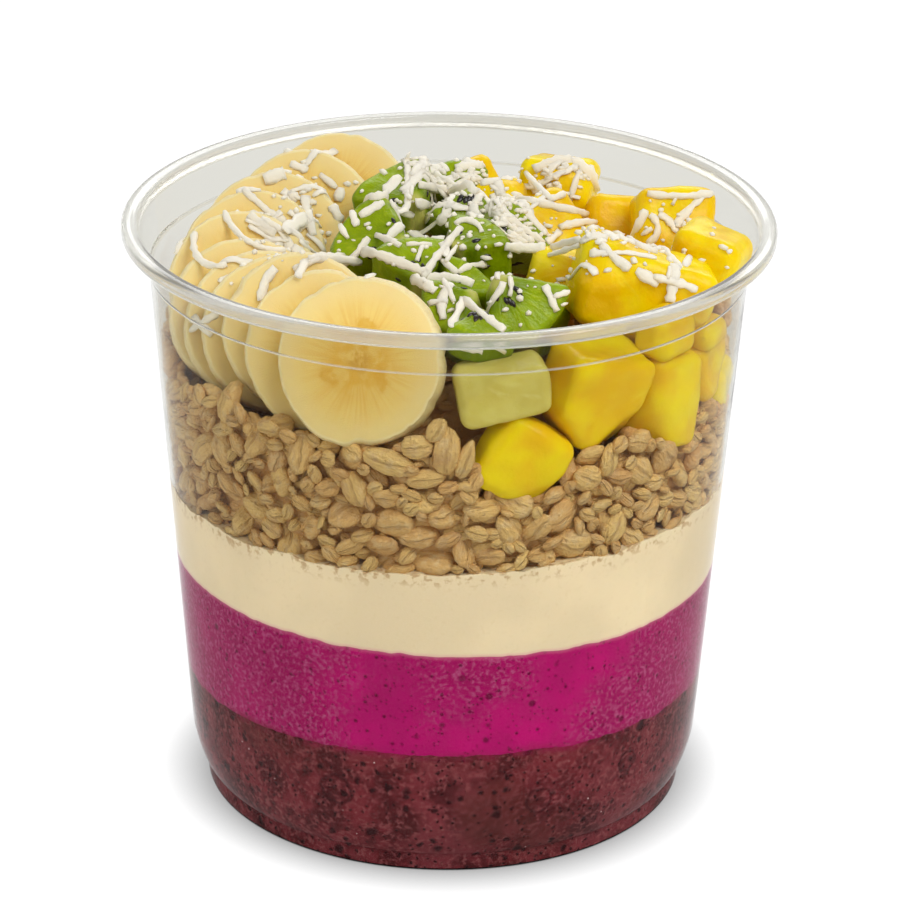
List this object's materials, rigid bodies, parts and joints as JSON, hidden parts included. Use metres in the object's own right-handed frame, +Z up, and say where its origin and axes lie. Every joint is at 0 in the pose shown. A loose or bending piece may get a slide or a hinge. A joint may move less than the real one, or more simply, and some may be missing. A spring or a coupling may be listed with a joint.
{
  "type": "acai bowl",
  "caption": "Layered acai bowl in a clear tapered cup: berry, pink fruit, cream and granola layers under fanned banana, kiwi and mango.",
  "frame": {"origin": "centre of the foot ring, on the surface that the cup stands on", "axes": "+Z up along the cup's axis, -Y towards the viewer with the banana fan on the left, +X to the viewer's right"},
  "size_m": [0.117, 0.117, 0.1117],
  "materials": {
    "clear_plastic": "clear, glossy, thin",
    "acai": "dense frozen puree, dark purple red, pitted",
    "pitaya": "smooth frozen puree, magenta, finely speckled",
    "cream": "smooth ivory cream",
    "granola": "dry toasted oats",
    "banana": "moist cut fruit",
    "kiwi": "wet cut fruit",
    "pale_fruit": "wet cut fruit",
    "mango": "wet cut fruit"
  },
  "bodies": {
    "root": {"cup": "clear_plastic", "acai_layer": "acai", "pitaya_layer": "pitaya", "cream_layer": "cream", "granola": "granola", "banana_slice_01": "banana", "banana_slice_02": "banana", "banana_slice_03": "banana", "banana_slice_04": "banana", "banana_slice_05": "banana", "banana_slice_06": "banana", "banana_slice_07": "banana", "banana_slice_08": "banana", "banana_slice_09": "banana", "banana_slice_10": "banana", "banana_slice_11": "banana", "kiwi_chunk_01": "kiwi", "kiwi_chunk_02": "kiwi", "kiwi_chunk_03": "kiwi", "kiwi_chunk_04": "kiwi", "kiwi_chunk_05": "kiwi", "kiwi_chunk_06": "kiwi", "kiwi_chunk_07": "kiwi", "kiwi_chunk_08": "kiwi", "kiwi_chunk_09": "kiwi", "kiwi_chunk_10": "kiwi", "kiwi_chunk_11": "kiwi", "kiwi_chunk_12": "kiwi", "kiwi_chunk_13": "kiwi", "kiwi_chunk_14": "kiwi", "kiwi_chunk_15": "kiwi", "kiwi_chunk_16": "kiwi", "pale_fruit_chunk": "pale_fruit", "mango_chunk_01": "mango", "mango_chunk_02": "mango", "mango_chunk_03": "mango", "mango_chunk_04": "mango", "mango_chunk_05": "mango", "mango_chunk_06": "mango", "mango_chunk_07": "mango", "mango_chunk_08": "mango", "mango_chunk_09": "mango", "mango_chunk_10": "mango", "mango_chunk_11": "mango", "mango_chunk_12": "mango", "mango_chunk_13": "mango", "mango_chunk_14": "mango", "mango_chunk_15": "mango", "mango_chunk_16": "mango", "mango_chunk_17": "mango", "mango_chunk_18": "mango", "mango_chunk_19": "mango", "mango_chunk_20": "mango"}
  },
  "joints": []
}
